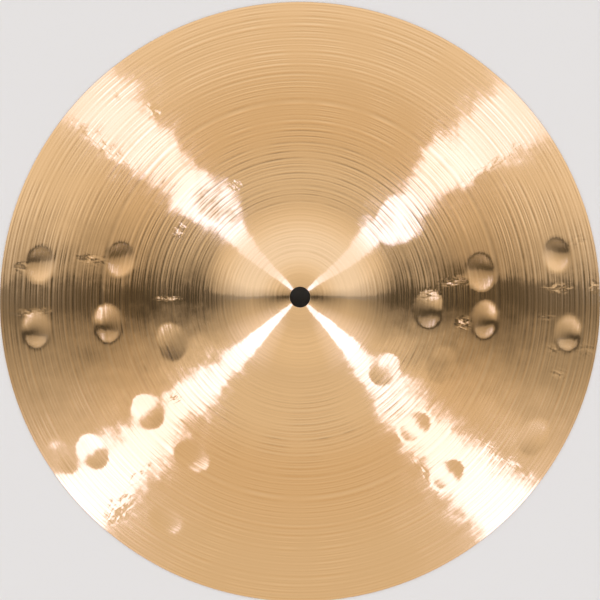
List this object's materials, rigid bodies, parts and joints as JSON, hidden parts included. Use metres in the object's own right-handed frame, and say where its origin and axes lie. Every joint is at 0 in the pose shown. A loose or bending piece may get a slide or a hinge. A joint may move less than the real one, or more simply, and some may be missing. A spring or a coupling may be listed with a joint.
{
  "type": "crash cymbal",
  "caption": "Thin round bronze cymbal with a raised cup, a shallow hammered and lathed bow, and a plain centre hole for a stand.",
  "frame": {"origin": "on the cymbal's axis, level with the flat of the rim that it rests on", "axes": "+Z is the axis of symmetry and points up through the cup; X and Y are alike, as the cymbal is round"},
  "size_m": [0.381, 0.381, 0.0384],
  "materials": {
    "bronze": "lathed in fine concentric grooves, lightly lacquered"
  },
  "bodies": {
    "root": {"cymbal": "bronze"}
  },
  "joints": []
}
